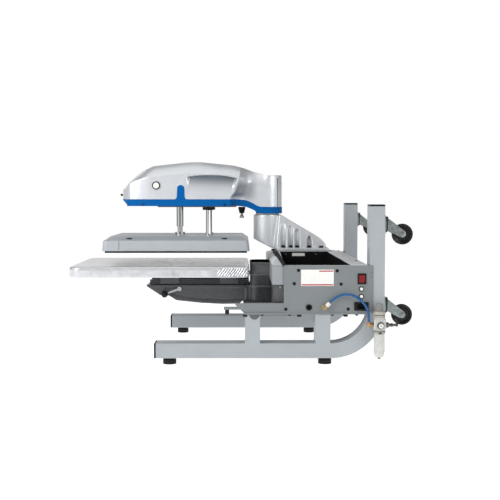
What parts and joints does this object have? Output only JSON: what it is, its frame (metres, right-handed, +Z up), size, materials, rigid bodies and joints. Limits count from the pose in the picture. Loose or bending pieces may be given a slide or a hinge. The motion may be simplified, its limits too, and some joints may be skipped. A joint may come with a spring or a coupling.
{
  "type": "heat press",
  "caption": "Pneumatic heat press: a head on a swing column presses a heated platen onto a draw-out lower platen, on a bent-tube stand with casters behind.",
  "frame": {"origin": "middle of the footprint box on the floor", "axes": "+Z up, the operator stands on the -Y side, the lower platen draws out along -Y, +X is the operator's right, where the controls and air inlet are"},
  "size_m": [0.9026, 1.19, 0.694],
  "materials": {
    "frame_paint": "satin light grey powder coat",
    "housing_paint": "fine-textured mid grey powder coat",
    "cover_paint": "fine-textured light grey powder coat",
    "casting_paint": "satin silver paint on a casting",
    "arm_paint": "satin dark grey paint on a casting",
    "platen_paint": "satin silver-grey paint",
    "head_silver": "gloss silver-white moulding",
    "trim_blue": "gloss blue moulding",
    "black_plastic": "matte black moulding",
    "white_plastic": "gloss white moulding",
    "red_plastic": "gloss red moulding",
    "grey_plastic": "matte grey moulding",
    "rubber": "black rubber",
    "tyre": "hard black rubber tread on a moulded wheel",
    "zinc": "bright zinc plate",
    "black_steel": "black oxide screws",
    "ground_steel": "ground and hard-chromed rod",
    "plain_steel": "machined steel",
    "aluminium": "machined aluminium",
    "brass": "machined brass",
    "bowl": "translucent polycarbonate",
    "hose_blue": "blue polyurethane tube",
    "pad_wrap": "glossy silvery slip-on wrapper over a silicone pad",
    "screen_glass": "dark screen glass in a black frame",
    "board": "green circuit board"
  },
  "bodies": {
    "base": {"right_side_frame": "frame_paint", "left_side_frame": "frame_paint", "cross_beams": "frame_paint", "frame_end_caps": "black_plastic", "rubber_feet": "rubber", "caster_plates": "zinc", "base_tray": "housing_paint", "right_side_panel": "housing_paint", "left_side_panel": "housing_paint", "rear_panel": "housing_paint", "front_cover": "cover_paint", "top_cover": "cover_paint", "tool_trays": "black_plastic", "base_casting": "arm_paint", "tower_casting": "casting_paint", "base_screws": "black_steel", "swing_shaft": "plain_steel", "slide_rails": "plain_steel", "switch_bezel": "black_plastic", "panel_sockets": "black_plastic", "control_board": "board", "valve_block": "aluminium", "regulator_body": "grey_plastic", "filter_bowl": "bowl", "pressure_gauge": "white_plastic", "air_fittings": "brass", "air_hose": "hose_blue"},
    "head": {"head_shell": "head_silver", "head_trim": "trim_blue", "head_beam": "arm_paint", "swing_bearings": "brass", "air_cylinder": "aluminium", "guide_bushes": "black_plastic", "touch_screen": "screen_glass", "button_bezels": "black_plastic", "exhaust_silencer": "black_plastic"},
    "press": {"piston_rod": "ground_steel", "guide_rods": "ground_steel", "platen_cover": "platen_paint", "heat_platen": "aluminium", "cover_bolts": "ground_steel"},
    "carriage": {"slide_carriage": "arm_paint", "lower_platen": "aluminium", "platen_pad": "pad_wrap"},
    "lock_lever": {"lock_lever": "black_steel"},
    "start_button_right": {"start_button_right": "white_plastic"},
    "start_button_left": {"start_button_left": "white_plastic"},
    "stop_button": {"stop_button": "black_plastic"},
    "regulator_knob": {"regulator_knob": "grey_plastic"},
    "switch_rocker": {"switch_rocker": "red_plastic"},
    "reset_button_upper": {"reset_button_upper": "white_plastic"},
    "reset_button_lower": {"reset_button_lower": "white_plastic"},
    "caster_fork_1": {"caster_fork_1": "zinc"},
    "caster_wheel_1": {"caster_wheel_1": "tyre"},
    "caster_fork_2": {"caster_fork_2": "zinc"},
    "caster_wheel_2": {"caster_wheel_2": "tyre"},
    "caster_fork_3": {"caster_fork_3": "zinc"},
    "caster_wheel_3": {"caster_wheel_3": "tyre"},
    "caster_fork_4": {"caster_fork_4": "zinc"},
    "caster_wheel_4": {"caster_wheel_4": "tyre"}
  },
  "joints": [
    {"name": "head_swing", "type": "hinge", "parent": "base", "child": "head", "pos_m": [-0.0283, 0.113, 0.52], "axis": [0, 0, -1], "range_deg": [0, 70]},
    {"name": "press_stroke", "type": "slide", "parent": "head", "child": "press", "axis": [0, 0, 1], "range_m": [-0.0443, 0], "stiffness_N_per_m": 6000, "springref_m": 0.05},
    {"name": "platen_draw", "type": "slide", "parent": "base", "child": "carriage", "axis": [0, -1, 0], "range_m": [0, 0.25]},
    {"name": "lock_lever_swing", "type": "hinge", "parent": "base", "child": "lock_lever", "pos_m": [0.0317, -0.2154, 0.225], "axis": [-1, 0, 0], "range_deg": [0, 40]},
    {"name": "regulator_knob_turn", "type": "hinge", "parent": "base", "child": "regulator_knob", "pos_m": [0.4208, 0.4746, 0.2], "axis": [0, 0, 1], "range_deg": [-360, 360]},
    {"name": "switch_rock", "type": "hinge", "parent": "base", "child": "switch_rocker", "pos_m": [0.3908, 0.4191, 0.292], "axis": [0, -1, 0], "range_deg": [0, 14]},
    {"name": "reset_upper_press", "type": "slide", "parent": "base", "child": "reset_button_upper", "axis": [-1, 0, 0], "range_m": [0, 0.002], "stiffness_N_per_m": 400, "springref_m": -0.001},
    {"name": "reset_lower_press", "type": "slide", "parent": "base", "child": "reset_button_lower", "axis": [-1, 0, 0], "range_m": [0, 0.002], "stiffness_N_per_m": 400, "springref_m": -0.001},
    {"name": "start_right_press", "type": "slide", "parent": "head", "child": "start_button_right", "axis": [-1, 0, 0], "range_m": [0, 0.004], "stiffness_N_per_m": 500, "springref_m": -0.001},
    {"name": "start_left_press", "type": "slide", "parent": "head", "child": "start_button_left", "axis": [1, 0, 0], "range_m": [0, 0.004], "stiffness_N_per_m": 500, "springref_m": -0.001},
    {"name": "stop_press", "type": "slide", "parent": "head", "child": "stop_button", "axis": [0, 1, 0], "range_m": [0, 0.003], "stiffness_N_per_m": 400, "springref_m": -0.001},
    {"name": "caster_swivel_1", "type": "hinge", "parent": "base", "child": "caster_fork_1", "pos_m": [0.3527, 0.5086, 0.201], "axis": [0, 1, 0], "continuous": true},
    {"name": "caster_spin_1", "type": "hinge", "parent": "caster_fork_1", "child": "caster_wheel_1", "pos_m": [0.3527, 0.5595, 0.1675], "axis": [1, 0, 0], "continuous": true},
    {"name": "caster_swivel_2", "type": "hinge", "parent": "base", "child": "caster_fork_2", "pos_m": [0.3527, 0.5086, 0.474], "axis": [0, 1, 0], "continuous": true},
    {"name": "caster_spin_2", "type": "hinge", "parent": "caster_fork_2", "child": "caster_wheel_2", "pos_m": [0.3527, 0.5595, 0.4405], "axis": [1, 0, 0], "continuous": true},
    {"name": "caster_swivel_3", "type": "hinge", "parent": "base", "child": "caster_fork_3", "pos_m": [-0.4093, 0.5086, 0.201], "axis": [0, 1, 0], "continuous": true},
    {"name": "caster_spin_3", "type": "hinge", "parent": "caster_fork_3", "child": "caster_wheel_3", "pos_m": [-0.4093, 0.5595, 0.1675], "axis": [1, 0, 0], "continuous": true},
    {"name": "caster_swivel_4", "type": "hinge", "parent": "base", "child": "caster_fork_4", "pos_m": [-0.4093, 0.5086, 0.474], "axis": [0, 1, 0], "continuous": true},
    {"name": "caster_spin_4", "type": "hinge", "parent": "caster_fork_4", "child": "caster_wheel_4", "pos_m": [-0.4093, 0.5595, 0.4405], "axis": [1, 0, 0], "continuous": true}
  ]
}
